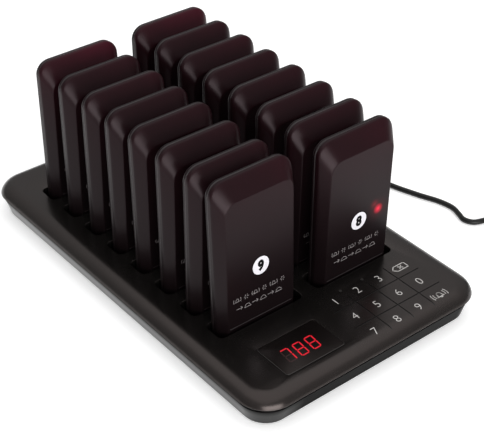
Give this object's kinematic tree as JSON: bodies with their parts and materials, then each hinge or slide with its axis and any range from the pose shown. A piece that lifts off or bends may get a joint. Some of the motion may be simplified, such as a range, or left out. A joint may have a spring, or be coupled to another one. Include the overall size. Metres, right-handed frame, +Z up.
{
  "type": "guest pager system",
  "caption": "Restaurant guest pager set: charging base with touch keypad and digit display, numbered pagers standing in its slots, and a power lead with wall adapter.",
  "frame": {"origin": "on the floor under the middle of the charging base, between the rubber feet", "axes": "+X to the right as seen from the keypad end, +Y from the keypad end to the back, +Z up"},
  "size_m": [0.368, 0.3482, 0.114],
  "materials": {
    "adapter_black": "fine grained black ABS",
    "battery_foil": "foil pouch",
    "buzzer_black": "matt black",
    "circuit_board": "green solder mask",
    "conductive_foam": "soft black foam",
    "connector_black": "black nylon",
    "display_housing": "matt black housing",
    "foot_rubber": "matt rubber",
    "gold_contact": "gold plated",
    "lead_black": "smooth black PVC",
    "light_pipe": "clear acrylic",
    "pager_case_black": "glossy black ABS",
    "pager_smoked_cover": "smoked translucent polycarbonate, glossy",
    "pin_metal": "nickel plated",
    "red_light": "red light emitting diode",
    "screw_steel": "zinc plated",
    "shell_gloss_black": "glossy black ABS",
    "shell_satin_black": "satin black ABS with a fine moulded grain",
    "tinned_metal": "tinned steel",
    "window_dark_red": "glossy dark red tinted polycarbonate",
    "wire_red": "insulated flat wire"
  },
  "bodies": {
    "base": {"top_shell": "shell_satin_black", "bottom_shell": "shell_gloss_black", "display_window": "window_dark_red", "display_module": "display_housing", "panel_board": "circuit_board", "touch_pads": "conductive_foam", "status_lights": "light_pipe", "main_board": "circuit_board", "radio_module": "tinned_metal", "base_buzzer": "buzzer_black", "charging_boards": "circuit_board", "charging_pins": "gold_contact", "wire_links": "wire_red", "board_screws": "screw_steel", "case_screws": "screw_steel", "rubber_feet": "foot_rubber", "dc_jack": "connector_black", "dc_plug": "lead_black", "power_cord": "lead_black", "power_cord_coil": "lead_black", "power_adapter": "adapter_black", "adapter_pins": "pin_metal"},
    "pager_01": {"pager_01_cover": "pager_smoked_cover", "pager_01_case": "pager_case_black"},
    "pager_02": {"pager_02_cover": "pager_smoked_cover", "pager_02_case": "pager_case_black"},
    "pager_03": {"pager_03_cover": "pager_smoked_cover", "pager_03_case": "pager_case_black"},
    "pager_04": {"pager_04_cover": "pager_smoked_cover", "pager_04_case": "pager_case_black"},
    "pager_05": {"pager_05_cover": "pager_smoked_cover", "pager_05_case": "pager_case_black"},
    "pager_06": {"pager_06_cover": "pager_smoked_cover", "pager_06_case": "pager_case_black"},
    "pager_07": {"pager_07_cover": "pager_smoked_cover", "pager_07_case": "pager_case_black"},
    "pager_08": {"pager_08_cover": "pager_smoked_cover", "pager_08_case": "pager_case_black", "pager_08_board": "circuit_board", "pager_08_battery": "battery_foil", "pager_08_motor": "tinned_metal", "pager_08_buzzer": "buzzer_black", "pager_08_lights": "red_light", "pager_08_contacts": "gold_contact"},
    "pager_09": {"pager_09_cover": "pager_smoked_cover", "pager_09_case": "pager_case_black"},
    "pager_10": {"pager_10_cover": "pager_smoked_cover", "pager_10_case": "pager_case_black"},
    "pager_11": {"pager_11_cover": "pager_smoked_cover", "pager_11_case": "pager_case_black"},
    "pager_12": {"pager_12_cover": "pager_smoked_cover", "pager_12_case": "pager_case_black"},
    "pager_13": {"pager_13_cover": "pager_smoked_cover", "pager_13_case": "pager_case_black"},
    "pager_14": {"pager_14_cover": "pager_smoked_cover", "pager_14_case": "pager_case_black"},
    "pager_15": {"pager_15_cover": "pager_smoked_cover", "pager_15_case": "pager_case_black"},
    "pager_16": {"pager_16_cover": "pager_smoked_cover", "pager_16_case": "pager_case_black"}
  },
  "joints": [
    {"name": "pager_01_lift", "type": "slide", "parent": "base", "child": "pager_01", "axis": [0, 0, 1], "range_m": [0, 0.12]},
    {"name": "pager_02_lift", "type": "slide", "parent": "base", "child": "pager_02", "axis": [0, 0, 1], "range_m": [0, 0.12]},
    {"name": "pager_03_lift", "type": "slide", "parent": "base", "child": "pager_03", "axis": [0, 0, 1], "range_m": [0, 0.12]},
    {"name": "pager_04_lift", "type": "slide", "parent": "base", "child": "pager_04", "axis": [0, 0, 1], "range_m": [0, 0.12]},
    {"name": "pager_05_lift", "type": "slide", "parent": "base", "child": "pager_05", "axis": [0, 0, 1], "range_m": [0, 0.12]},
    {"name": "pager_06_lift", "type": "slide", "parent": "base", "child": "pager_06", "axis": [0, 0, 1], "range_m": [0, 0.12]},
    {"name": "pager_07_lift", "type": "slide", "parent": "base", "child": "pager_07", "axis": [0, 0, 1], "range_m": [0, 0.12]},
    {"name": "pager_08_lift", "type": "slide", "parent": "base", "child": "pager_08", "axis": [0, 0, 1], "range_m": [0, 0.12]},
    {"name": "pager_09_lift", "type": "slide", "parent": "base", "child": "pager_09", "axis": [0, 0, 1], "range_m": [0, 0.12]},
    {"name": "pager_10_lift", "type": "slide", "parent": "base", "child": "pager_10", "axis": [0, 0, 1], "range_m": [0, 0.12]},
    {"name": "pager_11_lift", "type": "slide", "parent": "base", "child": "pager_11", "axis": [0, 0, 1], "range_m": [0, 0.12]},
    {"name": "pager_12_lift", "type": "slide", "parent": "base", "child": "pager_12", "axis": [0, 0, 1], "range_m": [0, 0.12]},
    {"name": "pager_13_lift", "type": "slide", "parent": "base", "child": "pager_13", "axis": [0, 0, 1], "range_m": [0, 0.12]},
    {"name": "pager_14_lift", "type": "slide", "parent": "base", "child": "pager_14", "axis": [0, 0, 1], "range_m": [0, 0.12]},
    {"name": "pager_15_lift", "type": "slide", "parent": "base", "child": "pager_15", "axis": [0, 0, 1], "range_m": [0, 0.12]},
    {"name": "pager_16_lift", "type": "slide", "parent": "base", "child": "pager_16", "axis": [0, 0, 1], "range_m": [0, 0.12]}
  ]
}
